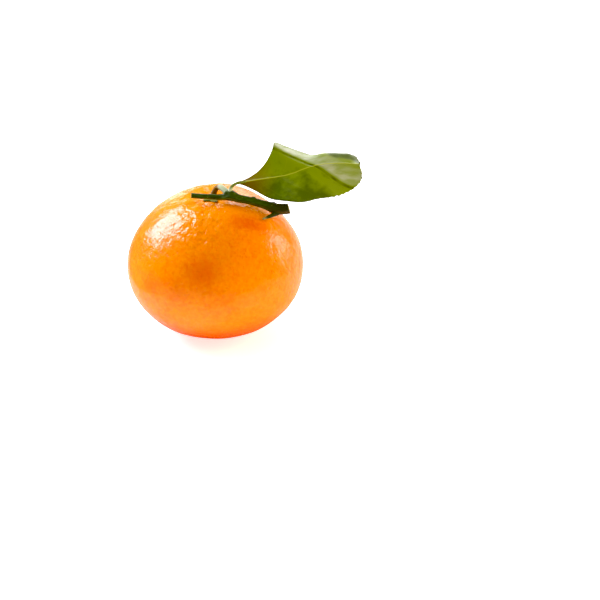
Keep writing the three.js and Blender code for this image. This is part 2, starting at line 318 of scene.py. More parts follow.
def rind_colour(tree, rind, at, glands):
    """Clouded, mottled orange, lighter round the stem, painted shade below and in places, darker in the
    pits.
    """
    patches = node(tree, "ShaderNodeTexNoise", {"Vector": at, "Scale": 1 / PATCH_SIZE, "Detail": 3.0})
    mottle = node(tree, "ShaderNodeTexNoise", {"Vector": at, "Scale": 1 / MOTTLE_SIZE, "Detail": 2.0})
    patch_share = node(
        tree, "ShaderNodeMapRange",
        {"Value": (patches, "Fac"), "From Min": 0.42, "From Max": 0.66, "To Max": 0.3},
    )
    patchy = node(
        tree, "ShaderNodeMix",
        {"Factor_Float": (patch_share, "Result"), "A_Color": rind.ripe, "B_Color": rind.deep},
        data_type="RGBA",
    )
    mottle_share = node(
        tree, "ShaderNodeMapRange",
        {"Value": (mottle, "Fac"), "From Min": 0.35, "From Max": 0.65, "To Max": 0.5},
    )
    mottled = node(
        tree, "ShaderNodeMix",
        {
            "Factor_Float": (mottle_share, "Result"), "A_Color": (patchy, "Result_Color"),
            "B_Color": rind.light,
        },
        data_type="RGBA",
    )
    height = node(tree, "ShaderNodeSeparateXYZ", {"Vector": at})
    crown_share = node(
        tree, "ShaderNodeMapRange",
        {"Value": (height, "Z"), "From Min": CROWN_LEVELS[0], "From Max": CROWN_LEVELS[1], "To Max": 0.75},
        interpolation_type="SMOOTHSTEP",
    )
    crowned = node(
        tree, "ShaderNodeMix",
        {
            "Factor_Float": (crown_share, "Result"), "A_Color": (mottled, "Result_Color"),
            "B_Color": rind.light,
        },
        data_type="RGBA",
    )
    shade_painted = crowned
    # Painted shade: deep orange at each of these places, with a wandering edge.
    for middle, radius, share in PAINTED_SHADE_PLACES:
        distance = node(
            tree, "ShaderNodeVectorMath", {"Vector": at, "Vector_001": [c * MM for c in middle]},
            operation="DISTANCE",
        )
        ragged = node(
            tree, "ShaderNodeMath",
            {"Value": (mottle, "Fac"), "Value_001": SHADE_EDGE * MM, "Value_002": (distance, "Value")},
            operation="MULTIPLY_ADD",
        )
        painted_shade = node(
            tree, "ShaderNodeMapRange",
            {
                "Value": (ragged, "Value"), "From Min": (radius + 0.5 * SHADE_EDGE) * MM,
                "From Max": SHADE_CORE * MM, "To Max": share,
            },
            interpolation_type="SMOOTHSTEP",
        )
        shade_painted = node(
            tree, "ShaderNodeMix",
            {"Factor_Float": (painted_shade, "Result"), "A_Color": (shade_painted, "Result_Color"), "B_Color": rind.deep},
            data_type="RGBA",
        )
    # Painted shade: deep orange mixed in towards the flat spot.
    under_shade_share = node(
        tree, "ShaderNodeMapRange",
        {"Value": (height, "Z"), "From Min": UNDER_LEVELS[0], "From Max": UNDER_LEVELS[1]},
        interpolation_type="SMOOTHSTEP",
    )
    darkened = node(
        tree, "ShaderNodeMix",
        {
            "Factor_Float": (under_shade_share, "Result"), "A_Color": (shade_painted, "Result_Color"),
            "B_Color": rind.deep,
        },
        data_type="RGBA",
    )
    pore_share = node(
        tree, "ShaderNodeMapRange",
        {"Value": (glands, "Distance"), "From Min": 0.42, "From Max": 0.1, "To Max": 0.24},
    )
    pored = node(
        tree, "ShaderNodeMix",
        {
            "Factor_Float": (pore_share, "Result"), "A_Color": (darkened, "Result_Color"),
            "B_Color": rind.pore,
        },
        data_type="RGBA",
    )
    return pored


def rind_relief(tree, rind, at, glands):
    """Dimples, coarser towards the stem, with the pits of the large and the small glands on them."""
    fine_glands = node(
        tree, "ShaderNodeTexVoronoi", {"Vector": at, "Scale": 1.9 / rind.gland_spacing, "Randomness": 1.0}
    )
    pits = node(
        tree, "ShaderNodeMapRange",
        {"Value": (glands, "Distance"), "From Min": 0.0, "From Max": 0.36},
        interpolation_type="SMOOTHSTEP",
    )
    dimples = node(
        tree, "ShaderNodeTexNoise", {"Vector": at, "Scale": 1 / (DIMPLE_SPACING * MM), "Detail": 2.0}
    )
    coarse = node(
        tree, "ShaderNodeVectorMath", {"Vector": at, "Vector_001": [c * MM for c in COARSE_MIDDLE]},
        operation="DISTANCE",
    )
    coarsely = node(
        tree, "ShaderNodeMapRange",
        {
            "Value": (coarse, "Value"), "From Min": COARSE_RADIUS * MM, "From Max": COARSE_CORE * MM,
            "To Min": DIMPLE_DEPTHS[0] * MM, "To Max": DIMPLE_DEPTHS[1] * MM,
        },
        interpolation_type="SMOOTHSTEP",
    )
    dimpled = node(
        tree, "ShaderNodeBump",
        {"Height": (dimples, "Fac"), "Strength": 1.0, "Distance": (coarsely, "Result")},
    )
    pitted = node(
        tree, "ShaderNodeBump",
        {
            "Height": (pits, "Result"), "Strength": 0.6, "Distance": rind.gland_depth,
            "Normal": (dimpled, "Normal"),
        },
    )
    fine = node(
        tree, "ShaderNodeBump",
        {
            "Height": (fine_glands, "Distance"), "Strength": 0.5, "Distance": 0.5 * rind.gland_depth,
            "Normal": (pitted, "Normal"),
        },
    )
    return fine


def rind_material(rind):
    """Mandarin rind: waxy and glossy, so the lights show on it as soft patches that its pits break up."""
    material, tree, shader = blank_material("waxy_mandarin_rind")
    place = node(tree, "ShaderNodeTexCoord", {})
    at = (place, "Object")
    glands = node(
        tree, "ShaderNodeTexVoronoi", {"Vector": at, "Scale": 1 / rind.gland_spacing, "Randomness": 0.9}
    )
    pored = rind_colour(tree, rind, at, glands)
    fine = rind_relief(tree, rind, at, glands)
    feed(
        shader,
        {
            "Base Color": (pored, "Result_Color"), "Roughness": 0.2, "IOR": 1.45, "Specular IOR Level": 0.5,
            "Subsurface Weight": 0.12, "Subsurface Radius": (1.0, 0.3, 0.06), "Subsurface Scale": 2.0 * MM,
            "Normal": (fine, "Normal"),
        },
    )
    return material


class MANDARIN_OT_fruit(bpy.types.Operator):
    """Model the whole fruit with its basin, furrows and pitted rind"""

    bl_idname = "mandarin.fruit"
    bl_label = "Fruit"

    CUTS = 126
    BROAD_LUMP = 13 * MM
    BROAD_RISE = 0.35 * MM
    SMALL_LUMP = 4.2 * MM
    SMALL_RISE = 0.09 * MM
    DIMPLE_RISE = 0.1 * MM
    # Modelled pits stand wider apart and are shallower than the material's: shares of their spacing and
    # depth, with a radius as a share of the pits' own spacing.
    PIT_SPACING, PIT_REACH, PIT_DEPTH = 1.35, 0.5, 0.4
    # The rind is smooth at the flat spot, and has its full relief from the second of these levels up.
    CALM_LEVELS = (2 * MM, 9 * MM)
    SCAR_RADIUS = 2.2 * MM
    SCAR_DEPTH = 0.5 * MM

    def place(self, rind, way):
        """The skin's point in a direction from the middle of the widest level."""
        lift = math.asin(clamp(way.z, -1, 1))
        turn = math.atan2(way.y, way.x)
        upper = smooth_step(-EQUATOR_BLEND, EQUATOR_BLEND, lift)
        power = mix(rind.belly_power, rind.shoulder_power, upper)
        height = mix(rind.belly_depth, rind.shoulder_height, upper)
        r = rind.radius * math.cos(lift) ** (2 / power) * swell(rind, turn)
        z = rind.widest_level + math.copysign(height * abs(math.sin(lift)) ** (2 / power), lift)
        point = Vector((r * math.cos(turn), r * math.sin(turn), z))
        if z > rind.widest_level:
            point.z -= basin(rind, point.x, point.y)
        calm = smooth_step(*self.CALM_LEVELS, point.z)
        rise = self.BROAD_RISE * noise.noise(point / self.BROAD_LUMP)
        rise += self.SMALL_RISE * noise.noise(point / self.SMALL_LUMP)
        from_pit = noise.voronoi(point / (self.PIT_SPACING * rind.gland_spacing))[0][0]
        rise -= self.PIT_DEPTH * rind.gland_depth * (1 - smooth_step(0, self.PIT_REACH, from_pit))
        from_coarse = (point - Vector(COARSE_MIDDLE) * MM).length
        coarse = 1 - smooth_step(COARSE_CORE * MM, COARSE_RADIUS * MM, from_coarse)
        rise += coarse * self.DIMPLE_RISE * noise.noise(point / (DIMPLE_SPACING * MM))
        point += way * rise * calm
        point.z = max(point.z, 0)
        point.z += self.SCAR_DEPTH * bell(math.hypot(point.x, point.y), self.SCAR_RADIUS) * (point.z < MM)
        return point

    def execute(self, context):
        rind = context.scene.mandarin_rind
        bm = bmesh.new()
        bmesh.ops.create_cube(bm, size=2)
        bmesh.ops.subdivide_edges(bm, edges=bm.edges, cuts=self.CUTS, use_grid_fill=True)
        for v in bm.verts:
            even = Vector([math.tan(c * math.pi / 4) for c in v.co])
            v.co = self.place(rind, even.normalized())
        bmesh.ops.recalc_face_normals(bm, faces=bm.faces)
        add_piece(bm, "mandarin_fruit", "fruit", [rind_material(rind)])
        return {"FINISHED"}


class CalyxSettings(bpy.types.PropertyGroup):
    tip_radius: bpy.props.FloatProperty(
        name="Tip radius", description="Reach of a lobe", default=3.7 * MM, unit="LENGTH"
    )
    notch_radius: bpy.props.FloatProperty(
        name="Notch radius", description="Radius between two lobes", default=2.4 * MM, unit="LENGTH"
    )
    boss_radius: bpy.props.FloatProperty(
        name="Boss radius", description="Scale of the round middle", default=2.9 * MM, unit="LENGTH"
    )
    green: bpy.props.FloatVectorProperty(
        name="Green", description="Colour of the calyx", subtype="COLOR", size=4, default=linear("#767C1A")
    )
    dry: bpy.props.FloatVectorProperty(
        name="Dry", description="Colour of its dried edges", subtype="COLOR", size=4,
        default=linear("#6E4A14"),
    )


def calyx_material(calyx):
    """Calyx: leathery and drying, dull green with brown spots, so it takes no gloss."""
    material, tree, shader = blank_material("drying_calyx")
    place = node(tree, "ShaderNodeTexCoord", {})
    spots = node(
        tree, "ShaderNodeTexNoise", {"Vector": (place, "Object"), "Scale": 1 / (0.9 * MM), "Detail": 4.0}
    )
    share = node(tree, "ShaderNodeMapRange", {"Value": (spots, "Fac"), "From Min": 0.45, "From Max": 0.7})
    tint = node(
        tree, "ShaderNodeMix",
        {"Factor_Float": (share, "Result"), "A_Color": calyx.green, "B_Color": calyx.dry}, data_type="RGBA",
    )
    wrinkles = node(
        tree, "ShaderNodeBump", {"Height": (spots, "Fac"), "Strength": 0.6, "Distance": 0.12 * MM}
    )
    feed(
        shader,
        {"Base Color": (tint, "Result_Color"), "Roughness": 0.75, "Normal": (wrinkles, "Normal")},
    )
    return material


class MANDARIN_OT_calyx(bpy.types.Operator):
    """Model the five-lobed calyx on the skin"""

    bl_idname = "mandarin.calyx"
    bl_label = "Calyx"

    LOBES = 5
    FIRST_LOBE = -1.25
    LOBE_POWER = 1.3
    UNEVENNESS = 0.16
    SUNK = 0.15 * MM
    # A rib runs down the upper face of each lobe. It is highest at a share of the lobe's radius.
    RIB_RISE = 0.14 * MM
    RIB_AT, RIB_REACH = 0.7, 0.3
    UPPER_FACE = 0.3 * MM
    CURL_RISE = 0.25 * MM
    CURL_FROM = 0.6
    WRINKLE_RISE = 0.08 * MM
    WRINKLE_SIZE = 1.3 * MM
    STEPS_ROUND = 100
    # Each pair is a share of the lobe's radius and a height over the skin in millimetres.
    SECTION = ((0, 0), (0.4, 0), (0.7, 0), (0.98, 0.12), (1, 0.3), (0.93, 0.42), (0.8, 0.5), (0.6, 0.5),
               (0.45, 0.62), (0.38, 0.95), (0.3, 1.1), (0, 1.15))

    def execute(self, context):
        calyx, rind = context.scene.mandarin_calyx, context.scene.mandarin_rind
        bm = bmesh.new()
        rows = [bm.verts.new((share, 0, height * MM)) for share, height in self.SECTION]
        edges = [bm.edges.new(pair) for pair in zip(rows, rows[1:])]
        bmesh.ops.subdivide_edges(bm, edges=edges, cuts=1)
        bmesh.ops.spin(
            bm, geom=bm.verts[:] + bm.edges[:], axis=(0, 0, 1), cent=(0, 0, 0), angle=2 * math.pi,
            steps=self.STEPS_ROUND, use_merge=True,
        )
        bmesh.ops.remove_doubles(bm, verts=bm.verts, dist=0.001 * MM)
        for v in bm.verts:
            share, turn = math.hypot(v.co.x, v.co.y), math.atan2(v.co.y, v.co.x)
            lobe = (0.5 + 0.5 * math.cos(self.LOBES * (turn - self.FIRST_LOBE))) ** self.LOBE_POWER
            tip = calyx.tip_radius * (1 + self.UNEVENNESS * math.cos(turn - self.FIRST_LOBE))
            reach = mix(calyx.notch_radius, tip, lobe)
            r = share * mix(calyx.boss_radius, reach, min(1, share) ** 2)
            rib = self.RIB_RISE * lobe**4 * bell(share - self.RIB_AT, self.RIB_REACH)
            rib *= v.co.z > self.UPPER_FACE
            curl = self.CURL_RISE * smooth_step(self.CURL_FROM, 1, share) * lobe
            flat = Vector((r * math.cos(turn), r * math.sin(turn), 0))
            wrinkle = self.WRINKLE_RISE * noise.noise(flat / self.WRINKLE_SIZE)
            v.co.x = rind.basin_at[0] + r * math.cos(turn)
            v.co.y = rind.basin_at[1] + r * math.sin(turn)
            v.co.z += skin_level(rind, v.co.x, v.co.y) - self.SUNK + rib + curl + wrinkle
        bmesh.ops.recalc_face_normals(bm, faces=bm.faces)
        add_piece(bm, "mandarin_calyx", "calyx", [calyx_material(calyx)])
        return {"FINISHED"}


class StalkSettings(bpy.types.PropertyGroup):
    green: bpy.props.FloatVectorProperty(
        name="Green", description="Colour of the leaf stalk", subtype="COLOR", size=4,
        default=linear("#6E7C1C"),
    )
    # Pale green: a painted highlight on the fruit stalk's bend and at the leaf stalk's foot.
    pale: bpy.props.FloatVectorProperty(
        name="Pale green", description="Colour of the fruit stalk's bend", subtype="COLOR", size=4,
        default=linear("#B6C49A"),
    )
    brown: bpy.props.FloatVectorProperty(
        name="Brown", description="Colour of the fruit stalk's foot", subtype="COLOR", size=4,
        default=linear("#7E5E0C"),
    )


FIBRE_SIZE = 0.7 * MM
# How far the edge between the stalk's two colours wanders.
STALK_EDGE = 1.2 * MM


def stalk_material(name, low, high, way, levels):
    """Young stalk: a thin smooth skin over fibres, so it has fine streaks and a satin gloss."""
    material, tree, shader = blank_material(name)
    place = node(tree, "ShaderNodeTexCoord", {})
    at = (place, "Object")
    height = node(tree, "ShaderNodeSeparateXYZ", {"Vector": at})
    grain = node(tree, "ShaderNodeTexNoise", {"Vector": at, "Scale": 1 / FIBRE_SIZE, "Detail": 3.0})
    shift = node(
        tree, "ShaderNodeMath",
        {"Value": (grain, "Fac"), "Value_001": STALK_EDGE, "Value_002": -0.5 * STALK_EDGE},
        operation="MULTIPLY_ADD",
    )
    level = node(
        tree, "ShaderNodeMath", {"Value": (height, way), "Value_001": (shift, "Value")}, operation="ADD"
    )
    share = node(
        tree, "ShaderNodeMapRange",
        {"Value": (level, "Value"), "From Min": levels[0], "From Max": levels[1]},
        interpolation_type="SMOOTHSTEP",
    )
    # One end of this mix is pale green, a painted highlight.
    tint = node(
        tree, "ShaderNodeMix", {"Factor_Float": (share, "Result"), "A_Color": low, "B_Color": high},
        data_type="RGBA",
    )
    streaks = node(
        tree, "ShaderNodeBump", {"Height": (grain, "Fac"), "Strength": 0.4, "Distance": 0.05 * MM}
    )
    feed(
        shader,
        {"Base Color": (tint, "Result_Color"), "Roughness": 0.5, "Normal": (streaks, "Normal")},
    )
    return material


class MANDARIN_OT_stalks(bpy.types.Operator):
    """Model the arched fruit stalk and the leaf stalk"""

    bl_idname = "mandarin.stalks"
    bl_label = "Stalks"

    # Points of the paths, and the radius at each, in millimetres.
    FRUIT_STALK = ((-0.6, -1.6, 50.9), (-0.3, -1.6, 52.2), (0.25, -1.7, 53.6), (1.05, -2.2, 54.85),
                   (2.1, -3.3, 55.45), (3.2, -4.4, 55.15), (4.3, -5.4, 54.4))
    FRUIT_STALK_RADII = (1.5, 1.1, 0.88, 0.92, 1.0, 1.0, 1.1)
    LEAF_STALK = ((5.4, -6, 55.0), (5.7, -5.8, 56.0), (6.3, -5.4, 56.85), (7.5, -5, 57.5), (9, -4.6, 57.75),
                  (11, -3.7, 57.5))
    LEAF_STALK_RADII = (0.95, 0.72, 0.56, 0.5, 0.54, 0.3)
    # The fruit stalk turns from brown to pale green, a painted highlight, between two places along X, and
    # the leaf stalk from pale green, the same painted highlight, to full green between two levels.
    FRUIT_STALK_CHANGE = (0.9 * MM, 1.7 * MM)
    LEAF_STALK_CHANGE = (55.9 * MM, 56.9 * MM)

    def execute(self, context):
        stalks = context.scene.mandarin_stalks
        bm = bmesh.new()
        path = [Vector(p) * MM for p in self.FRUIT_STALK]
        add_limb(bm, path, [r * MM for r in self.FRUIT_STALK_RADII], rib_count=6, rib_share=0.05)
        material = stalk_material(
            "drying_fruit_stalk", stalks.brown, stalks.pale, "X", self.FRUIT_STALK_CHANGE
        )
        add_piece(bm, "mandarin_fruit_stalk", "fruit_stalk", [material])
        bm = bmesh.new()
        path = [Vector(p) * MM for p in self.LEAF_STALK]
        add_limb(bm, path, [r * MM for r in self.LEAF_STALK_RADII], rib_count=2, rib_share=0.08)
        material = stalk_material(
            "green_leaf_stalk", stalks.pale, stalks.green, "Z", self.LEAF_STALK_CHANGE
        )
        add_piece(bm, "mandarin_leaf_stalk", "leaf_stalk", [material])
        return {"FINISHED"}


class TwigSettings(bpy.types.PropertyGroup):
    bark: bpy.props.FloatVectorProperty(
        name="Bark", description="Green of the young bark", subtype="COLOR", size=4,
        default=linear("#35460A"),
    )
    light_bark: bpy.props.FloatVectorProperty(
        name="Light bark", description="Green of the bark's ridges", subtype="COLOR", size=4,
        default=linear("#486414"),
    )
    old_bark: bpy.props.FloatVectorProperty(
        name="Old bark", description="Colour of the heel", subtype="COLOR", size=4,
        default=linear("#34340A"),
    )
    wood: bpy.props.FloatVectorProperty(
        name="Wood", description="Colour of the cut wood", subtype="COLOR", size=4,
        default=linear("#A8A05E"),
    )


# The torn end of the spur, in millimetres, and how near to it the wood starts to show and shows most.
SPUR_END = (16.5, -10.5, 46.4)
TORN_REACH = (2.0 * MM, 0.6 * MM)
# The bark grows browner between these two places along the twig, towards the heel.
HEEL_CHANGE = (16 * MM, 23 * MM)
# The bark's grain is drawn out along the twig. Its specks are lighter pores.
BARK_GRAIN = 0.45 * MM
BARK_STRETCH = 0.16
SPECK_SPACING = 1.1 * MM


def bark_material(twig):
    """Young citrus bark: green and smooth, browner at the heel, with pale specks and a satin gloss."""
    material, tree, shader = blank_material("young_green_bark")
    place = node(tree, "ShaderNodeTexCoord", {})
    along = node(
        tree, "ShaderNodeMapping", {"Vector": (place, "Object"), "Scale": (BARK_STRETCH, 1, 1)}
    )
    grain = node(
        tree, "ShaderNodeTexNoise", {"Vector": (along, "Vector"), "Scale": 1 / BARK_GRAIN, "Detail": 4.0}
    )
    specks = node(
        tree, "ShaderNodeTexVoronoi", {"Vector": (place, "Object"), "Scale": 1 / SPECK_SPACING}
    )
    ridge = node(tree, "ShaderNodeMapRange", {"Value": (grain, "Fac"), "From Min": 0.45, "From Max": 0.75})
    green = node(
        tree, "ShaderNodeMix",
        {"Factor_Float": (ridge, "Result"), "A_Color": twig.bark, "B_Color": twig.light_bark},
        data_type="RGBA",
    )
    side = node(tree, "ShaderNodeSeparateXYZ", {"Vector": (place, "Object")})
    heel = node(
        tree, "ShaderNodeMapRange",
        {"Value": (side, "X"), "From Min": HEEL_CHANGE[0], "From Max": HEEL_CHANGE[1], "To Max": 0.85},
        interpolation_type="SMOOTHSTEP",
    )
    aged = node(
        tree, "ShaderNodeMix",
        {"Factor_Float": (heel, "Result"), "A_Color": (green, "Result_Color"), "B_Color": twig.old_bark},
        data_type="RGBA",
    )
    speck = node(
        tree, "ShaderNodeMapRange",
        {"Value": (specks, "Distance"), "From Min": 0.16, "From Max": 0.08, "To Max": 0.5},
    )
    specked = node(
        tree, "ShaderNodeMix",
        {"Factor_Float": (speck, "Result"), "A_Color": (aged, "Result_Color"), "B_Color": twig.wood},
        data_type="RGBA",
    )
    from_end = node(
        tree, "ShaderNodeVectorMath",
        {"Vector": (place, "Object"), "Vector_001": [c * MM for c in SPUR_END]},
        operation="DISTANCE",
    )
    torn = node(
        tree, "ShaderNodeMapRange",
        {
            "Value": (from_end, "Value"), "From Min": TORN_REACH[0], "From Max": TORN_REACH[1],
            "To Max": 0.8,
        },
        interpolation_type="SMOOTHSTEP",
    )
    ended = node(
        tree, "ShaderNodeMix",
        {"Factor_Float": (torn, "Result"), "A_Color": (specked, "Result_Color"), "B_Color": twig.wood},
        data_type="RGBA",
    )
    relief = node(tree, "ShaderNodeBump", {"Height": (grain, "Fac"), "Strength": 0.6, "Distance": 0.1 * MM})
    feed(
        shader,
        {"Base Color": (ended, "Result_Color"), "Roughness": 0.48, "Normal": (relief, "Normal")},
    )
    return material


WOOD_FIBRE = 0.25 * MM
FIBRE_SHADE = "#6A6A2C"


def cut_wood_material(twig):
    """Fresh-cut twig wood: pale and dry, with a fibrous grain and no gloss."""
    material, tree, shader = blank_material("cut_twig_wood")
    place = node(tree, "ShaderNodeTexCoord", {})
    fibres = node(
        tree, "ShaderNodeTexNoise", {"Vector": (place, "Object"), "Scale": 1 / WOOD_FIBRE, "Detail": 3.0}
    )
    tint = node(
        tree, "ShaderNodeValToRGB", {"Fac": (fibres, "Fac")},
        stops=((0.3, linear(FIBRE_SHADE)), (0.7, twig.wood)),
    )
    rough = node(
        tree, "ShaderNodeBump", {"Height": (fibres, "Fac"), "Strength": 0.8, "Distance": 0.08 * MM}
    )
    feed(shader, {"Base Color": (tint, "Color"), "Roughness": 0.85, "Normal": (rough, "Normal")})
    return material


class MANDARIN_OT_twig(bpy.types.Operator):
    """Model the twig with its joint, bud and torn spur, as one grown body"""

    bl_idname = "mandarin.twig"
    bl_label = "Twig"

    # Points of the paths, and the radius at each, in millimetres.
    PATH = ((-8.1, -5.6, 53.5), (-5, -5.8, 53.3), (-1.2, -6, 53.15), (2.7, -6.2, 53.1), (5.6, -6.3, 53.6),
            (8.3, -6.3, 52.55), (11.5, -6.4, 51.85), (14.7, -6.5, 50.9), (17.9, -6.6, 49.9),
            (21, -6.7, 48.7), (23.8, -6.7, 48.4), (26.9, -6.7, 48.6))
    RADII = (1.0, 0.92, 0.88, 1.1, 1.8, 1.45, 1.36, 1.4, 1.55, 1.85, 1.88, 1.72)
    SPUR = ((22.5, -6.8, 47.8), (21, -7.9, 47.2), (19, -9.2, 46.8), SPUR_END)
    SPUR_RADII = (1.3, 0.95, 0.62, 0.36)
    # Each is a middle and three half sizes in millimetres: the joint's cushion, the bud beside the leaf
    # stalk, the stalk's socket, and two scars of older leaves.
    LUMPS = (
        ((5.4, -6.1, 54.1), (2.0, 1.6, 1.5)),
        ((4.1, -6.6, 54.6), (0.75, 0.6, 0.8)),
        ((4.4, -5.5, 54.3), (1.0, 1.0, 0.9)),
        ((13.4, -6.3, 52.3), (1.1, 0.8, 0.7)),
        ((20.3, -6.2, 50.1), (1.3, 0.9, 0.8)),
    )
    # The heel is cut here, on a slant in radians. The thin end's cut face is told from the bark by how
    # near to the end it lies and by how straight it faces out.
    HEEL_CUT_X = 25.8
    HEEL_CUT_SLOPE = 0.28
    THIN_END_DEPTH = 0.1 * MM
    THIN_END_FACING = -0.8
    VOXEL = 0.13 * MM
    SMOOTHINGS = 3
    # The bark's long ridges, and its fine grain.
    RIDGE_RISE, RIDGE_SIZE, RIDGE_STRETCH = 0.09 * MM, 1.1 * MM, 0.35
    GRAIN_RISE, GRAIN_SIZE = 0.04 * MM, 0.6 * MM

    def grow_together(self, bm):
        """Fuses the overlapping lengths into one skin, and returns it."""
        mesh = bpy.data.meshes.new("twig_parts")
        bm.to_mesh(mesh)
        bm.free()
        parts = bpy.data.objects.new("twig_parts", mesh)
        bpy.context.scene.collection.objects.link(parts)
        remesh = parts.modifiers.new("grown together", "REMESH")
        remesh.mode = "VOXEL"
        remesh.voxel_size = self.VOXEL
        grown = bmesh.new()
        grown.from_object(parts, bpy.context.evaluated_depsgraph_get())
        bpy.data.objects.remove(parts)
        bpy.data.meshes.remove(mesh)
        return grown

    def execute(self, context):
        twig = context.scene.mandarin_twig
        bm = bmesh.new()
        path = [Vector(p) * MM for p in self.PATH]
        add_limb(bm, path, [r * MM for r in self.RADII], sides=48, steps=160, rib_count=5, rib_share=0.06,
                 twist=1.5)
        spur = [Vector(p) * MM for p in self.SPUR]
        add_limb(bm, spur, [r * MM for r in self.SPUR_RADII], rib_count=3, rib_share=0.1)
        for at, half in self.LUMPS:
            made = bmesh.ops.create_icosphere(bm, subdivisions=4, radius=1)
            bmesh.ops.scale(bm, verts=made["verts"], vec=Vector(half) * MM)
            bmesh.ops.translate(bm, verts=made["verts"], vec=Vector(at) * MM)
        bm = self.grow_together(bm)
        for _ in range(self.SMOOTHINGS):
            bmesh.ops.smooth_vert(
                bm, verts=bm.verts, factor=0.5, use_axis_x=True, use_axis_y=True, use_axis_z=True
            )
        heel = Vector((self.HEEL_CUT_X, self.PATH[-1][1], self.PATH[-1][2])) * MM
        outward = Vector((math.cos(self.HEEL_CUT_SLOPE), 0, math.sin(self.HEEL_CUT_SLOPE)))
        cut = bmesh.ops.bisect_plane(
            bm, geom=bm.verts[:] + bm.edges[:] + bm.faces[:], plane_co=heel, plane_no=outward,
            clear_outer=True,
        )
        rim = [g for g in cut["geom_cut"] if isinstance(g, bmesh.types.BMEdge)]
        filled = bmesh.ops.triangle_fill(bm, edges=rim, use_beauty=True)
        heel_faces = [g for g in filled["geom"] if isinstance(g, bmesh.types.BMFace)]
        thin_end = min(v.co.x for v in bm.verts) + self.THIN_END_DEPTH
        bm.normal_update()
        for face in bm.faces:
            if face.normal.x < self.THIN_END_FACING and face.calc_center_median().x < thin_end:
                face.material_index = 1
        for face in heel_faces:
            face.material_index = 1
        for v in bm.verts:
            drawn_out = Vector((v.co.x * self.RIDGE_STRETCH, v.co.y, v.co.z))
            rise = self.RIDGE_RISE * noise.noise(drawn_out / self.RIDGE_SIZE)
            rise += self.GRAIN_RISE * noise.noise(v.co / self.GRAIN_SIZE)
            v.co += v.normal * rise
        bmesh.ops.recalc_face_normals(bm, faces=bm.faces)
        add_piece(bm, "mandarin_twig", "twig", [bark_material(twig), cut_wood_material(twig)])
        return {"FINISHED"}


class LeafSettings(bpy.types.PropertyGroup):
    thickness: bpy.props.FloatProperty(
        name="Thickness", description="Thickness of the blade", default=0.4 * MM, unit="LENGTH"
    )
    vein_spacing: bpy.props.FloatProperty(
        name="Vein spacing", description="Distance between side veins", default=4.3 * MM, unit="LENGTH"
    )
    green: bpy.props.FloatVectorProperty(
        name="Green", description="Main colour of the upper face", subtype="COLOR", size=4,
        default=linear("#4A5E0A"),
    )
    # Yellow green: the random lighter patches, and the painted light on the blade.
    yellow_green: bpy.props.FloatVectorProperty(
        name="Yellow green", description="Lighter patches of the upper face", subtype="COLOR", size=4,
        default=linear("#768C14"),
    )
    foot: bpy.props.FloatVectorProperty(
        name="Foot", description="Colour near the leaf stalk", subtype="COLOR", size=4,
        default=linear("#6C5600"),
    )
    rib: bpy.props.FloatVectorProperty(
        name="Midrib", description="Colour of the midrib", subtype="COLOR", size=4,
        default=linear("#9CA832"),
    )
    # A painted sheen: the pale strip beyond the crease, where the blade mirrors the light.
    sheen_strip: bpy.props.FloatVectorProperty(
        name="Strained strip", description="Colour beyond the crease, where the blade is strained",
        subtype="COLOR", size=4, default=linear("#A6B296"),
    )
    # Painted shade in the groove of the crease.
    crease: bpy.props.FloatVectorProperty(
        name="Crease", description="Colour in the crease", subtype="COLOR", size=4,
        default=linear("#323C00"),
    )
    under: bpy.props.FloatVectorProperty(
        name="Under side", description="Colour of the under side", subtype="COLOR", size=4,
        default=linear("#8A9A55"),
    )


# The UV map "blade" lays the leaf out flat, this length to one unit. The map "shares" holds how far a
# point lies beyond the crease, CREASE_SPAN to one unit, and how far out it lies between the two edges.
UV_SPAN = 50 * MM
CREASE_SPAN = 8.0
# The crease crosses the midrib at this share of the blade's length, with a small jog, on a slant.
CREASE_AT = 0.62
CREASE_JOG = 0.016
JOG_WIDTH = 0.1
CREASE_SLANT = 3.8
# The side veins lean towards the tip, and bend a little more that way for each millimetre out.
VEIN_LEAN = 0.75
VEIN_BEND = 0.02
# Sizes of the leaf's patterns. The net is drawn coarser than it is, so that it shows.
NET_SIZE = 0.9 * MM
LEAF_PATCH = 6 * MM
STREAK_SIZE = 2.2 * MM
# Half the midrib's width at the leaf's foot and at its tip.
RIB_HALF_WIDTHS = (0.25 * MM, 0.12 * MM)
# Brightness of the painted sheen strip beyond the crease, at places past the crease.
STRIP_STOPS = (
    (0.03, (0, 0, 0, 1)),
    (0.16, (1, 1, 1, 1)),
    (0.6, (0.7, 0.7, 0.7, 1)),
    (1, (0.1, 0.1, 0.1, 1)),
)


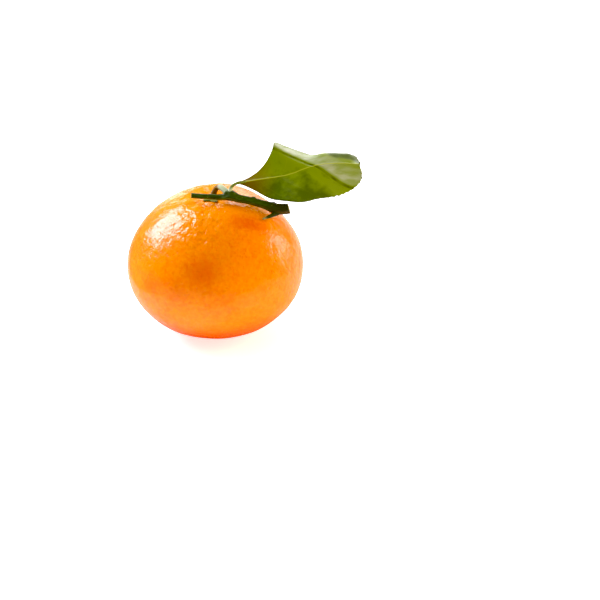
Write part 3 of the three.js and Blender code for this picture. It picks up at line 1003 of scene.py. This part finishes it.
def side_veins(tree, leaf, flat, place, out):
    """Lines that leave the midrib on a slant, one vein's spacing apart, and wander a little."""
    bend = node(
        tree, "ShaderNodeMath",
        {"Value": (out, "Value"), "Value_001": VEIN_BEND * UV_SPAN / MM, "Value_002": VEIN_LEAN},
        operation="MULTIPLY_ADD",
    )
    lean = node(
        tree, "ShaderNodeMath", {"Value": (out, "Value"), "Value_001": (bend, "Value")},
        operation="MULTIPLY",
    )
    run = node(
        tree, "ShaderNodeMath", {"Value": (place, "X"), "Value_001": (lean, "Value")}, operation="SUBTRACT"
    )
    phase = node(
        tree, "ShaderNodeMath", {"Value": (run, "Value"), "Value_001": UV_SPAN / leaf.vein_spacing},
        operation="MULTIPLY",
    )
    wander = node(tree, "ShaderNodeTexNoise", {"Vector": (flat, "UV"), "Scale": 9.0})
    wavy = node(
        tree, "ShaderNodeMath", {"Value": (wander, "Fac"), "Value_001": 0.5, "Value_002": (phase, "Value")},
        operation="MULTIPLY_ADD",
    )
    back_and_forth = node(
        tree, "ShaderNodeMath", {"Value": (wavy, "Value"), "Value_001": 1.0}, operation="PINGPONG"
    )
    vein = node(
        tree, "ShaderNodeMapRange",
        {"Value": (back_and_forth, "Value"), "From Min": 0.07, "From Max": 0.0},
        interpolation_type="SMOOTHSTEP",
    )
    return vein


def midrib_line(tree, place, out):
    """The midrib, which narrows from the leaf's foot to its tip."""
    rib_width = node(
        tree, "ShaderNodeMapRange",
        {
            "Value": (place, "X"), "From Min": 0.0, "From Max": 1.0,
            "To Min": RIB_HALF_WIDTHS[0] / UV_SPAN, "To Max": RIB_HALF_WIDTHS[1] / UV_SPAN,
        },
    )
    rib_share = node(
        tree, "ShaderNodeMath", {"Value": (out, "Value"), "Value_001": (rib_width, "Result")},
        operation="DIVIDE",
    )
    rib = node(
        tree, "ShaderNodeMapRange", {"Value": (rib_share, "Value"), "From Min": 1.4, "From Max": 0.6},
        interpolation_type="SMOOTHSTEP",
    )
    return rib


def blade_colour(tree, leaf, upper, patches, share, past_crease):
    """Green with random yellow-green patches, and painted light and shade.

    Painted light makes it more yellow-green near the far half's edge, past the crease and in a band before
    it on the near half, and painted shade makes it darker at the far half's tip.
    """
    # Painted light: more yellow-green towards the far half's edge.
    patched = node(
        tree, "ShaderNodeMath",
        {"Value": (share, "Y"), "Value_001": 0.45, "Value_002": (patches, "Fac")}, operation="MULTIPLY_ADD",
    )
    # Painted light past the crease.
    beyond = node(
        tree, "ShaderNodeMapRange",
        {"Value": (past_crease, "Value"), "From Min": -0.5, "From Max": 0.2, "To Max": 0.4},
    )
    # Painted shade at the far half's tip.
    outer_side = node(
        tree, "ShaderNodeMapRange",
        {"Value": (share, "Y"), "From Min": 0.52, "From Max": 0.64, "To Max": -0.78},
        interpolation_type="SMOOTHSTEP",
    )
    towards_tip = node(
        tree, "ShaderNodeMapRange", {"Value": (past_crease, "Value"), "From Min": 0.5, "From Max": 1.0},
        interpolation_type="SMOOTHSTEP",
    )
    painted_tip_shade = node(
        tree, "ShaderNodeMath", {"Value": (outer_side, "Result"), "Value_001": (towards_tip, "Result")},
        operation="MULTIPLY",
    )
    # Painted light in a band before the crease, on the near half.
    band = node(
        tree, "ShaderNodeMapRange",
        {"Value": (past_crease, "Value"), "From Min": -0.75, "From Max": -0.35},
        interpolation_type="SMOOTHSTEP",
    )
    band_end = node(
        tree, "ShaderNodeMapRange",
        {"Value": (past_crease, "Value"), "From Min": -0.1, "From Max": -0.3, "To Max": 0.3},
        interpolation_type="SMOOTHSTEP",
    )
    near_half = node(
        tree, "ShaderNodeMapRange", {"Value": (share, "Y"), "From Min": 0.45, "From Max": 0.3}
    )
    before = node(
        tree, "ShaderNodeMath", {"Value": (band, "Result"), "Value_001": (band_end, "Result")},
        operation="MULTIPLY",
    )
    painted_band_light = node(
        tree, "ShaderNodeMath", {"Value": (before, "Value"), "Value_001": (near_half, "Result")},
        operation="MULTIPLY",
    )
    toned = node(
        tree, "ShaderNodeMath", {"Value": (beyond, "Result"), "Value_001": (painted_tip_shade, "Value")},
        operation="ADD",
    )
    banded = node(
        tree, "ShaderNodeMath", {"Value": (toned, "Value"), "Value_001": (painted_band_light, "Value")},
        operation="ADD",
    )
    lighter = node(
        tree, "ShaderNodeMath", {"Value": (patched, "Value"), "Value_001": (banded, "Value")},
        operation="ADD",
    )
    patch_share = node(
        tree, "ShaderNodeMapRange",
        {"Value": (lighter, "Value"), "From Min": 0.5, "From Max": 0.95, "To Max": 1.3}, clamp=False,
    )
    base = node(
        tree, "ShaderNodeMix",
        {
            "Factor_Float": (patch_share, "Result"), "A_Color": leaf.green if upper else leaf.under,
            "B_Color": leaf.yellow_green if upper else leaf.rib,
        },
        data_type="RGBA",
    )
    return base


def painted_sheen_strip(tree, flat, share, past_crease):
    """Share of the painted sheen strip beyond the crease, which streaks along the side veins break up."""
    strip = node(
        tree, "ShaderNodeValToRGB", {"Fac": (past_crease, "Value")}, stops=STRIP_STOPS
    )
    far = node(
        tree, "ShaderNodeMapRange",
        {"Value": (share, "Y"), "From Min": 0.2, "From Max": 0.9, "To Min": 0.78, "To Max": 0.95},
    )
    along_veins = node(
        tree, "ShaderNodeMapping", {"Vector": (flat, "UV"), "Rotation": (0, 0, -0.65), "Scale": (0.3, 1, 1)}
    )
    streaks = node(
        tree, "ShaderNodeTexNoise",
        {"Vector": (along_veins, "Vector"), "Scale": UV_SPAN / STREAK_SIZE, "Detail": 3.0},
    )
    streaked = node(
        tree, "ShaderNodeMapRange",
        {"Value": (streaks, "Fac"), "From Min": 0.38, "From Max": 0.62, "To Min": 0.35, "To Max": 1.15},
    )
    broken = node(
        tree, "ShaderNodeMath", {"Value": (far, "Result"), "Value_001": (streaked, "Result")},
        operation="MULTIPLY",
    )
    strip_share = node(
        tree, "ShaderNodeMath", {"Value": (strip, "Color"), "Value_001": (broken, "Value")},
        operation="MULTIPLY",
    )
    return strip_share


def crease_line(tree, patches, past_crease):
    """Share of the painted shade in the groove of the crease, which is darker in some places than in others.
    """
    groove_distance = node(
        tree, "ShaderNodeMath", {"Value": (past_crease, "Value"), "Value_001": 0.02}, operation="ADD"
    )
    groove_side = node(
        tree, "ShaderNodeMath", {"Value": (groove_distance, "Value")}, operation="ABSOLUTE"
    )
    groove = node(
        tree, "ShaderNodeMapRange",
        {"Value": (groove_side, "Value"), "From Min": 0.08, "From Max": 0.0, "To Max": 0.6},
        interpolation_type="SMOOTHSTEP",
    )
    uneven = node(
        tree, "ShaderNodeMapRange",
        {"Value": (patches, "Fac"), "From Min": 0.42, "From Max": 0.58, "To Min": 0.35, "To Max": 1.25},
    )
    crease_shade_share = node(
        tree, "ShaderNodeMath", {"Value": (groove, "Result"), "Value_001": (uneven, "Result")},
        operation="MULTIPLY",
    )
    return crease_shade_share


def leaf_relief(tree, flat, upper, vein):
    """Side veins, sunk in the upper face and raised on the under side, and a fine net over them."""
    net = node(
        tree, "ShaderNodeTexVoronoi", {"Vector": (flat, "UV"), "Scale": UV_SPAN / NET_SIZE},
        feature="DISTANCE_TO_EDGE",
    )
    raised = node(
        tree, "ShaderNodeBump",
        {"Height": (vein, "Result"), "Strength": 0.25 if upper else 0.6, "Distance": 0.06 * MM},
        invert=upper,
    )
    netted = node(
        tree, "ShaderNodeBump",
        {
            "Height": (net, "Distance"), "Strength": 0.35, "Distance": 0.05 * MM,
            "Normal": (raised, "Normal"),
        },
    )
    return netted


def leaf_material(leaf, upper):
    """Citrus leaf: waxed and glossy above, paler and dull below, with sunk side veins and a fine net."""
    material, tree, shader = blank_material("waxy_leaf_top" if upper else "dull_leaf_under_side")
    flat = node(tree, "ShaderNodeUVMap", {}, uv_map="blade")
    place = node(tree, "ShaderNodeSeparateXYZ", {"Vector": (flat, "UV")})
    across = node(tree, "ShaderNodeMath", {"Value": (place, "Y"), "Value_001": 0.5}, operation="SUBTRACT")
    out = node(tree, "ShaderNodeMath", {"Value": (across, "Value")}, operation="ABSOLUTE")
    shares = node(tree, "ShaderNodeUVMap", {}, uv_map="shares")
    share = node(tree, "ShaderNodeSeparateXYZ", {"Vector": (shares, "UV")})
    past_crease = node(
        tree, "ShaderNodeMath",
        {"Value": (share, "X"), "Value_001": CREASE_SPAN, "Value_002": -0.5 * CREASE_SPAN},
        operation="MULTIPLY_ADD",
    )
    patches = node(
        tree, "ShaderNodeTexNoise",
        {"Vector": (flat, "UV"), "Scale": UV_SPAN / LEAF_PATCH, "Detail": 5.0, "Roughness": 0.65},
    )
    vein = side_veins(tree, leaf, flat, place, out)
    rib = midrib_line(tree, place, out)
    base = blade_colour(tree, leaf, upper, patches, share, past_crease)
    foot_share = node(
        tree, "ShaderNodeMapRange",
        {"Value": (place, "X"), "From Min": 0.32, "From Max": 0.05, "To Max": 0.9},
        interpolation_type="SMOOTHSTEP",
    )
    footed = node(
        tree, "ShaderNodeMix",
        {"Factor_Float": (foot_share, "Result"), "A_Color": (base, "Result_Color"), "B_Color": leaf.foot},
        data_type="RGBA",
    )
    vein_share = node(
        tree, "ShaderNodeMath", {"Value": (vein, "Result"), "Value_001": 0.08 if upper else 0.6},
        operation="MULTIPLY",
    )
    veined = node(
        tree, "ShaderNodeMix",
        {"Factor_Float": (vein_share, "Value"), "A_Color": (footed, "Result_Color"), "B_Color": leaf.rib},
        data_type="RGBA",
    )
    # Painted sheen: the pale strip beyond the crease.
    strip_share = painted_sheen_strip(tree, flat, share, past_crease)
    sheened = node(
        tree, "ShaderNodeMix",
        {
            "Factor_Float": (strip_share, "Value"), "A_Color": (veined, "Result_Color"),
            "B_Color": leaf.sheen_strip if upper else leaf.under,
        },
        data_type="RGBA",
    )
    # Painted shade in the crease.
    crease_shade_share = crease_line(tree, patches, past_crease)
    creased = node(
        tree, "ShaderNodeMix",
        {
            "Factor_Float": (crease_shade_share, "Value"), "A_Color": (sheened, "Result_Color"),
            "B_Color": leaf.crease if upper else leaf.under,
        },
        data_type="RGBA",
    )
    ribbed = node(
        tree, "ShaderNodeMix",
        {"Factor_Float": (rib, "Result"), "A_Color": (creased, "Result_Color"), "B_Color": leaf.rib},
        data_type="RGBA",
    )
    netted = leaf_relief(tree, flat, upper, vein)
    feed(
        shader,
        {
            "Base Color": (ribbed, "Result_Color"), "Roughness": 0.33 if upper else 0.6, "IOR": 1.45,
            "Specular IOR Level": 0.42 if upper else 0.4, "Normal": (netted, "Normal"),
        },
    )
    return material


class MANDARIN_OT_leaf(bpy.types.Operator):
    """Model the folded leaf blade with its midrib, veins and toothed edge"""

    bl_idname = "mandarin.leaf"
    bl_label = "Leaf"

    # Sizes without MM are in millimetres. The midrib runs out to the right and back. Each half leaves it at
    # its own angle: it rises or droops from level, and is swept towards the tip, in degrees from the
    # blade's foot to its tip.
    MIDRIB = ((8.9, -4.6, 57.8), (17.5, -0.7, 57.2), (26.0, 3.1, 56.9), (34.5, 7.6, 58.0),
              (43.1, 11.4, 57.3), (51.4, 14.5, 55.5))
    MIDRIB_STEP = 0.02
    NEAR_RISE = (-38, -38, -22, -35, -43, -40)
    NEAR_SWEEP = (-20, -25, -26, -20, -2, 6)
    FAR_RISE = (20, 26, 40, 0, -8, 0)
    # The far half bends down along the slanted crease, so its rise is read later near the midrib.
    FAR_BEND_SLANT = 0.12
    FAR_BEND_FROM = 0.9
    FAR_SWEEP = (8, 12, 0, 11, 14, 22)
    NEAR_HALF, NEAR_POWER = 13.6, 1.5
    FAR_HALF, FAR_POWER = 14.5, 2.0
    FOOT_HALF = 0.6
    TIP_POWER = 2.8
    # Low uneven teeth along both edges start past the middle, and finer ones at the tip itself. Only the
    # edge has them: a tooth fades with this power of the share of the way out.
    TOOTH_DEPTH = 0.2
    TEETH = 27
    TEETH_START = (0.5, 0.8)
    TOOTH_MEAN, TOOTH_CHANGES = 0.6, 23
    TOOTH_FADE = 8
    TIP_TOOTH_DEPTH = 0.28 * MM
    TIP_TOOTH_SPACING = 1.5 * MM
    TIP_TEETH_START = (0.86, 0.96)
    # The crease is a groove with a low bead beyond it, which falls off slowly. The bead is on the near half
    # and ends a little past the midrib.
    BEAD_RISE = 0.3 * MM
    BEAD_FRONT, BEAD_FALL = 0.06, 0.25
    BEAD_END = (-0.3, 0.2)
    GROOVE_DEPTH = 0.2 * MM
    GROOVE_AT = -0.04
    GROOVE_WIDTH = 0.05
    # The far half rolls over towards the tip: millimetres of lift at every 1 mm out from the midrib.
    TIP_ROLL = (0, 0.58, 1.16, 1.72, 2.25, 2.55, 2.35, 1.85, 1.3, 0.75, 0.2, -0.35, -0.9)
    TIP_ROLL_SPAN = 12 * MM
    TIP_ROLL_START = (0.56, 0.74)
    TIP_ROLL_END = (0.88, 1)
    LENGTH = 46.8
    # The columns crowd towards the midrib by this power.
    ROWS, COLUMNS = 200, 72
    CROWDING = 1.5
    PUFF = 0.07 * MM
    RIB_RISE = 0.1 * MM
    RIB_WIDTH = 0.4 * MM
    RIB_TAPER = 0.7
    UNDER_RIB = 0.5 * MM
    UNDER_RIB_WIDTH = 0.75 * MM

    def half_width(self, along, across):
        widest, power = (self.NEAR_HALF, self.NEAR_POWER) if across < 0 else (self.FAR_HALF, self.FAR_POWER)
        if along < 0.5:
            share = math.sin(math.pi * along) ** power
        else:
            share = math.sqrt(max(0, 1 - (2 * along - 1) ** self.TIP_POWER))
        teeth = self.TOOTH_DEPTH * math.cos(self.TEETH * 2 * math.pi * along)
        teeth *= smooth_step(*self.TEETH_START, along)
        uneven = self.TOOTH_MEAN + noise.noise(Vector((along * self.TOOTH_CHANGES, across, 0)))
        teeth *= abs(across) ** self.TOOTH_FADE * (along < 1) * uneven
        return (self.FOOT_HALF + (widest - self.FOOT_HALF) * share + teeth) * MM

    def past_crease(self, along, across):
        """How far a point lies beyond the crease, which jogs a little where it meets the midrib."""
        return across + CREASE_SLANT * (along - CREASE_AT + CREASE_JOG * math.tanh(across / JOG_WIDTH))

    def place(self, leaf, along, across):
        """A point of the upper face. across is -1 at the near edge and 1 at the far edge."""
        path = [Vector(p) * MM for p in self.MIDRIB]
        ahead = path_point(path, along + self.MIDRIB_STEP)
        forward = (ahead - path_point(path, max(0, along - self.MIDRIB_STEP))).normalized()
        side = Vector((0, 0, 1)).cross(forward).normalized()
        up = forward.cross(side)
        rises, sweeps = (self.NEAR_RISE, self.NEAR_SWEEP) if across < 0 else (self.FAR_RISE, self.FAR_SWEEP)
        bent = along + self.FAR_BEND_SLANT * (across - self.FAR_BEND_FROM) if across > 0 else along
        rise, sweep = math.radians(between(rises, bent)), math.radians(between(sweeps, along))
        reach = self.half_width(along, across)
        out = abs(across) * reach
        crease = self.past_crease(along, across)
        calm = math.sin(math.pi * along) ** 0.5
        bead = self.BEAD_RISE * math.exp(-abs(crease) / (self.BEAD_FALL if crease > 0 else self.BEAD_FRONT))
        bead *= 1 - smooth_step(*self.BEAD_END, across)
        lift = (bead - self.GROOVE_DEPTH * bell(crease - self.GROOVE_AT, self.GROOVE_WIDTH)) * calm
        run = along * self.LENGTH * MM - out * (VEIN_LEAN + VEIN_BEND * out / MM)
        puff = (0.5 - 0.5 * math.cos(2 * math.pi * run / leaf.vein_spacing)) * (1 - abs(across) ** 3)
        lift += self.PUFF * puff * calm
        if across > 0:
            roll = between(self.TIP_ROLL, out / self.TIP_ROLL_SPAN) * MM
            roll *= smooth_step(*self.TIP_ROLL_START, along)
            lift += roll * (1 - smooth_step(*self.TIP_ROLL_END, along))
        lift += self.RIB_RISE * bell(out, self.RIB_WIDTH) * (1 - self.RIB_TAPER * along)
        point = path_point(path, along) + side * (across * reach * math.cos(rise) * math.cos(sweep))
        point += up * (out * math.sin(rise) * math.cos(sweep) + lift) + forward * (out * math.sin(sweep))
        tooth = self.TIP_TOOTH_DEPTH * math.cos(2 * math.pi * reach / self.TIP_TOOTH_SPACING)
        point += forward * tooth * abs(across) ** self.TOOTH_FADE * smooth_step(*self.TIP_TEETH_START, along)
        return point, out

    def execute(self, context):
        leaf = context.scene.mandarin_leaf
        bm = bmesh.new()
        bmesh.ops.create_grid(bm, x_segments=self.ROWS, y_segments=self.COLUMNS, size=1)
        up = bm.verts.layers.float_vector.new("up")
        marks = bm.verts.layers.float_vector.new("marks")
        for v in bm.verts:
            along = 0.5 + 0.5 * v.co.x
            across = math.copysign(abs(v.co.y) ** self.CROWDING, v.co.y)
            v.co, out = self.place(leaf, along, across)
            v[marks] = (along, math.copysign(out, across), across)
        bm.normal_update()
        for v in bm.verts:
            v[up] = v.normal
        upright = bm.faces[:]
        uv = bm.loops.layers.uv.new("blade")
        shares = bm.loops.layers.uv.new("shares")
        for face in upright:
            for loop in face.loops:
                along, out, across = loop.vert[marks]
                loop[uv].uv = (along * self.LENGTH * MM / UV_SPAN, 0.5 + out / UV_SPAN)
                loop[shares].uv = (0.5 + self.past_crease(along, across) / CREASE_SPAN, 0.5 + 0.5 * across)
        made = bmesh.ops.extrude_face_region(bm, geom=upright, use_keep_orig=True)
        for g in made["geom"]:
            if isinstance(g, bmesh.types.BMVert):
                along, out, _ = g[marks]
                rib = self.UNDER_RIB * bell(out, self.UNDER_RIB_WIDTH) * (1 - self.RIB_TAPER * along)
                g.co -= g[up] * (leaf.thickness + rib)
            elif isinstance(g, bmesh.types.BMFace):
                g.material_index = 1
        bmesh.ops.recalc_face_normals(bm, faces=bm.faces)
        materials = [leaf_material(leaf, True), leaf_material(leaf, False)]
        add_piece(bm, "mandarin_leaf_blade", "leaf_blade", materials)
        return {"FINISHED"}


class StudioSettings(bpy.types.PropertyGroup):
    key_power: bpy.props.FloatProperty(
        name="Key power", description="Power of the tall soft light on the left", default=4.2, unit="POWER"
    )
    side_power: bpy.props.FloatProperty(
        name="Side power", description="Power of the small light on the right", default=0.38, unit="POWER"
    )
    back_power: bpy.props.FloatProperty(
        name="Back power", description="Power of the light behind on the right", default=0.8, unit="POWER"
    )
    left_power: bpy.props.FloatProperty(
        name="Left power", description="Power of the narrow light behind on the left", default=0.17,
        unit="POWER",
    )
    top_power: bpy.props.FloatProperty(
        name="Top power", description="Power of the light that falls from above", default=0.75,
        unit="POWER",
    )
    sun_power: bpy.props.FloatProperty(
        name="Low sun power", description="Power of the light that throws the leaf's shadow forward",
        default=0.9, unit="POWER",
    )
    warm_power: bpy.props.FloatProperty(
        name="Warm power", description="Power of the warm bounce from the right", default=2.0, unit="POWER"
    )
    room: bpy.props.FloatProperty(
        name="Room", description="Brightness of the room all round", default=0.16
    )
    black: bpy.props.FloatProperty(
        name="Black level", description="Light that the picture shows as black", default=0.015
    )
    warm: bpy.props.FloatVectorProperty(
        name="Warm", description="Colour of the bounce", subtype="COLOR", size=4, default=linear("#FFDA94")
    )
    cool: bpy.props.FloatVectorProperty(
        name="Cool", description="Colour of the key light", subtype="COLOR", size=4,
        default=linear("#ECE7FF"),
    )
    floor_glow: bpy.props.FloatProperty(
        name="Floor glow", description="Light of the table itself, away from the fruit", default=0.85
    )
    card: bpy.props.FloatVectorProperty(
        name="Card", description="Colour of the card that the skin mirrors", subtype="COLOR", size=4,
        default=linear("#D2D0CC"),
    )
    floor: bpy.props.FloatVectorProperty(
        name="Floor", description="Colour of the floor", subtype="COLOR", size=4, default=linear("#F4F4F3")
    )


# The table's own light has its full strength this far out, and this share of it under the fruit.
GLOW_REACH = 0.05
GLOW_UNDER = 0.85


def paper_material(studio):
    """White paper: matt, and shining a little by itself, so that it stays white under the fruit."""
    material, tree, shader = blank_material("matt_white_paper")
    place = node(tree, "ShaderNodeTexCoord", {})
    distance = node(tree, "ShaderNodeVectorMath", {"Vector": (place, "Object")}, operation="LENGTH")
    glow = node(
        tree, "ShaderNodeMapRange",
        {
            "Value": (distance, "Value"), "From Max": GLOW_REACH,
            "To Min": GLOW_UNDER * studio.floor_glow, "To Max": studio.floor_glow,
        },
        interpolation_type="SMOOTHSTEP",
    )
    feed(
        shader,
        {
            "Base Color": studio.floor, "Roughness": 0.8, "Specular IOR Level": 0.1,
            "Emission Color": studio.floor, "Emission Strength": (glow, "Result"),
        },
    )
    return material


def card_material(studio):
    """Grey card: matt and dimmer than the paper, so what the skin mirrors of it stays soft."""
    material, _, shader = blank_material("matt_grey_card")
    feed(shader, {"Base Color": studio.card, "Roughness": 0.8, "Specular IOR Level": 0.1})
    return material


class MANDARIN_OT_studio(bpy.types.Operator):
    """Add the floor, the lights and the camera"""

    bl_idname = "mandarin.studio"
    bl_label = "Studio"

    CAMERA_AT = (0, -0.896486, 0.467221)
    CAMERA_AIM = (0.029659, -0.005848, 0.012318)
    LENS = 169.83
    SENSOR = 36.0
    TABLE_SIZE = 20.0
    TABLE_LEVEL = -0.08 * MM
    # The skin and leaf mirror this dimmer card in place of the table, whose full white would bleach them.
    CARD_LEVEL = -0.04 * MM
    CARD_CORNERS = ((-0.06, -0.06), (0.6, -0.06), (0.6, 1.2), (-0.06, 1.2))
    LIGHT_DISTANCE = 0.5
    # Each is an angle round from straight behind and an angle up, in degrees, and the width and height of
    # the light in metres.
    KEY = (-60, 37, 0.26, 0.34)
    SIDE = (70, 15, 0.12, 0.16)
    BACK = (20, 25, 0.28, 0.32)
    BACK_LEFT = (-15, 8, 0.1, 0.2)
    TOP = (-115, 58, 0.5, 0.5)
    LOW_SUN = (2, 38, 0.12, 0.12)
    WARM = (100, 26, 0.35, 0.4)

    def add_floor(self, bm, name, paper):
        mesh = bpy.data.meshes.new(name)
        bm.to_mesh(mesh)
        bm.free()
        mesh.materials.append(paper)
        floor = bpy.data.objects.new(name, mesh)
        bpy.context.scene.collection.objects.link(floor)
        return floor

    def look(self, thing, aim):
        thing.rotation_euler = (Vector(aim) - thing.location).to_track_quat("-Z", "Y").to_euler()

    def add_light(self, name, setup, power, middle, tint=(1, 1, 1)):
        turn, lift, width, height = setup
        turn, lift = math.radians(turn), math.radians(lift)
        data = bpy.data.lights.new(name, "AREA")
        data.shape = "RECTANGLE"
        data.size, data.size_y = width, height
        data.energy = power
        data.color = tint[:3]
        light = bpy.data.objects.new(name, data)
        bpy.context.scene.collection.objects.link(light)
        way = Vector((math.sin(turn) * math.cos(lift), math.cos(turn) * math.cos(lift), math.sin(lift)))
        light.location = middle + way * self.LIGHT_DISTANCE
        light.visible_camera = False
        self.look(light, middle)
        return light

    def set_table(self, studio):
        bm = bmesh.new()
        bmesh.ops.create_grid(bm, x_segments=1, y_segments=1, size=self.TABLE_SIZE)
        bmesh.ops.translate(bm, verts=bm.verts, vec=(0, 0, self.TABLE_LEVEL))
        self.add_floor(bm, "table", paper_material(studio)).visible_glossy = False
        bm = bmesh.new()
        bm.faces.new([bm.verts.new((x, y, self.CARD_LEVEL)) for x, y in self.CARD_CORNERS])
        card = self.add_floor(bm, "mirrored_card", card_material(studio))
        card.visible_camera = card.visible_diffuse = card.visible_shadow = False

    def set_lights(self, studio, middle):
        """The last three lights only brighten what they fall on: the skin and the leaf don't mirror them."""
        self.add_light("key", self.KEY, studio.key_power, middle, studio.cool)
        self.add_light("side", self.SIDE, studio.side_power, middle)
        self.add_light("back", self.BACK, studio.back_power, middle)
        self.add_light("back_left", self.BACK_LEFT, studio.left_power, middle)
        self.add_light("top", self.TOP, studio.top_power, middle).visible_glossy = False
        self.add_light("low_sun", self.LOW_SUN, studio.sun_power, middle).visible_glossy = False
        bounce = self.add_light("warm_bounce", self.WARM, studio.warm_power, middle, studio.warm)
        bounce.visible_glossy = False

    def set_world(self, context, studio):
        world = bpy.data.worlds.new("studio")
        world.use_nodes = True
        feed(world.node_tree.nodes["Background"], {"Color": (1, 1, 1, 1), "Strength": studio.room})
        context.scene.world = world
        view = context.scene.view_settings
        view.view_transform = "Standard"
        view.use_curve_mapping = True
        view.curve_mapping.black_level = (studio.black, studio.black, studio.black)
        view.curve_mapping.update()

    def set_camera(self, context):
        data = bpy.data.cameras.new("camera")
        data.lens = self.LENS
        data.sensor_width = self.SENSOR
        camera = bpy.data.objects.new("camera", data)
        context.scene.collection.objects.link(camera)
        camera.location = self.CAMERA_AT
        self.look(camera, self.CAMERA_AIM)
        context.scene.camera = camera

    def execute(self, context):
        studio, rind = context.scene.mandarin_studio, context.scene.mandarin_rind
        self.set_table(studio)
        self.set_lights(studio, Vector((0, 0, rind.widest_level)))
        self.set_world(context, studio)
        self.set_camera(context)
        return {"FINISHED"}


SETTINGS = {
    "mandarin_rind": RindSettings,
    "mandarin_calyx": CalyxSettings,
    "mandarin_stalks": StalkSettings,
    "mandarin_twig": TwigSettings,
    "mandarin_leaf": LeafSettings,
    "mandarin_studio": StudioSettings,
}
OPERATORS = (
    MANDARIN_OT_fruit,
    MANDARIN_OT_calyx,
    MANDARIN_OT_stalks,
    MANDARIN_OT_twig,
    MANDARIN_OT_leaf,
    MANDARIN_OT_studio,
)


class MANDARIN_PT_panel(bpy.types.Panel):
    """Lists the pieces and their settings"""

    bl_idname = "MANDARIN_PT_panel"
    bl_label = "Mandarin"
    bl_space_type = "VIEW_3D"
    bl_region_type = "UI"
    bl_category = "Mandarin"

    def draw(self, context):
        for operator in OPERATORS:
            self.layout.operator(operator.bl_idname)
        for name, group in SETTINGS.items():
            box = self.layout.box()
            for key in group.__annotations__:
                box.prop(getattr(context.scene, name), key)


def register():
    for group in SETTINGS.values():
        bpy.utils.register_class(group)
    for kind in (*OPERATORS, MANDARIN_PT_panel):
        bpy.utils.register_class(kind)
    for name, group in SETTINGS.items():
        setattr(bpy.types.Scene, name, bpy.props.PointerProperty(type=group))


def unregister():
    for name in SETTINGS:
        delattr(bpy.types.Scene, name)
    for kind in (MANDARIN_PT_panel, *reversed(OPERATORS)):
        bpy.utils.unregister_class(kind)
    for group in reversed(SETTINGS.values()):
        bpy.utils.unregister_class(group)


def main():
    register()
    bpy.ops.mandarin.fruit()
    bpy.ops.mandarin.calyx()
    bpy.ops.mandarin.stalks()
    bpy.ops.mandarin.twig()
    bpy.ops.mandarin.leaf()
    bpy.ops.mandarin.studio()


if __name__ == "__main__":
    main()
